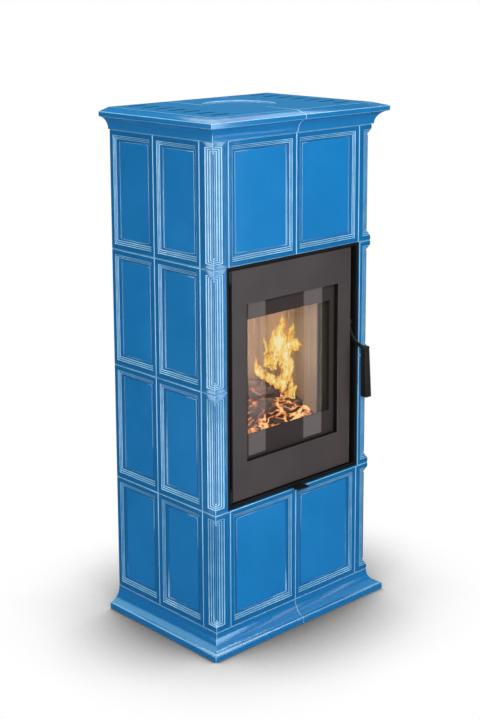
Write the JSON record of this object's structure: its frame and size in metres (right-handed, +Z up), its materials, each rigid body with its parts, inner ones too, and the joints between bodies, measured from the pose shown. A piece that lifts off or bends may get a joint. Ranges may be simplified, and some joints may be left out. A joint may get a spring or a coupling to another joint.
{
  "type": "tiled wood stove",
  "caption": "Tall slim wood stove clad in blue glazed relief tiles, with moulded plinth and cornice, glass fire door, drop handle, air lever and rear flue collar.",
  "frame": {"origin": "on the floor under the middle of the tiled body, midway between its side faces and between its front tile face and its rear edge; this is also the bottom centre of the bounding box", "axes": "+Z up along the stove's height; -Y is the front with the fire door; +Y is the rear, along which the flue collar leaves; +X is to the right seen from the front, the handle's side"},
  "size_m": [0.528, 0.422, 1.137],
  "materials": {
    "glazed_tiles": "thick transparent blue glaze that breaks pale on every edge, high gloss",
    "glazed_mouldings": "the same blue glaze on plinth, cornice and top, high gloss",
    "refractory": "dry pressed firebrick, scorched, matt",
    "stove_steel": "heat resistant matt dark grey paint on steel sheet",
    "pan_steel": "matt grey painted steel sheet",
    "grate_iron": "raw cast iron, ash dusted",
    "door_steel": "satin anthracite grey heat resistant paint",
    "window_glass": "clear heat resistant glass ceramic, faint warm tint",
    "bright_steel": "plain zinc plated steel",
    "rope": "braided glass fibre rope, matt",
    "handle_black": "satin black coated steel",
    "lever_steel": "brushed bare steel",
    "flue_steel": "matt grey heat resistant paint on thick steel tube"
  },
  "bodies": {
    "stove": {"ash_pan": "pan_steel", "baffle": "refractory", "base_frame": "stove_steel", "casing": "stove_steel", "corner_tile_left_row1": "glazed_tiles", "corner_tile_left_row2": "glazed_tiles", "corner_tile_left_row3": "glazed_tiles", "corner_tile_left_row4": "glazed_tiles", "corner_tile_right_row1": "glazed_tiles", "corner_tile_right_row2": "glazed_tiles", "corner_tile_right_row3": "glazed_tiles", "corner_tile_right_row4": "glazed_tiles", "door_frame": "door_steel", "firebox": "stove_steel", "flue_blanking_cap": "flue_steel", "flue_collar": "flue_steel", "flue_cover": "glazed_mouldings", "front_tile_left_row1": "glazed_tiles", "front_tile_left_row4": "glazed_tiles", "front_tile_right_row1": "glazed_tiles", "front_tile_right_row4": "glazed_tiles", "grate": "grate_iron", "hinge_pins": "bright_steel", "latch_keeper": "door_steel", "levelling_feet": "bright_steel", "lining_brick_left": "refractory", "lining_brick_rear": "refractory", "lining_brick_right": "refractory", "lining_floor": "refractory", "plinth_left": "glazed_mouldings", "plinth_right": "glazed_mouldings", "rear_panel": "stove_steel", "side_tile_left_front_row1": "glazed_tiles", "side_tile_left_front_row2": "glazed_tiles", "side_tile_left_front_row3": "glazed_tiles", "side_tile_left_front_row4": "glazed_tiles", "side_tile_left_rear_row1": "glazed_tiles", "side_tile_left_rear_row2": "glazed_tiles", "side_tile_left_rear_row3": "glazed_tiles", "side_tile_left_rear_row4": "glazed_tiles", "side_tile_right_front_row1": "glazed_tiles", "side_tile_right_front_row2": "glazed_tiles", "side_tile_right_front_row3": "glazed_tiles", "side_tile_right_front_row4": "glazed_tiles", "side_tile_right_rear_row1": "glazed_tiles", "side_tile_right_rear_row2": "glazed_tiles", "side_tile_right_rear_row3": "glazed_tiles", "side_tile_right_rear_row4": "glazed_tiles", "top_rear_insert": "glazed_mouldings", "top_tile_left": "glazed_mouldings", "top_tile_right": "glazed_mouldings"},
    "door": {"door_leaf": "door_steel", "door_glass": "window_glass", "glass_clips": "bright_steel", "glass_screws": "bright_steel", "door_rope_seal": "rope", "handle_pivot_bolt": "bright_steel"},
    "handle": {"handle_lever": "handle_black", "handle_grip": "handle_black"},
    "air_control": {"air_lever": "lever_steel"}
  },
  "joints": [
    {"name": "door_hinge", "type": "hinge", "parent": "stove", "child": "door", "pos_m": [-0.185, -0.1555, 0.57], "axis": [0, 0, -1], "range_deg": [0, 110]},
    {"name": "handle_pivot", "type": "hinge", "parent": "door", "child": "handle", "pos_m": [0.185, -0.147, 0.646], "axis": [-1, 0, 0], "range_deg": [0, 35]},
    {"name": "air_slide", "type": "slide", "parent": "stove", "child": "air_control", "axis": [1, 0, 0], "range_m": [-0.023, 0.007]}
  ]
}
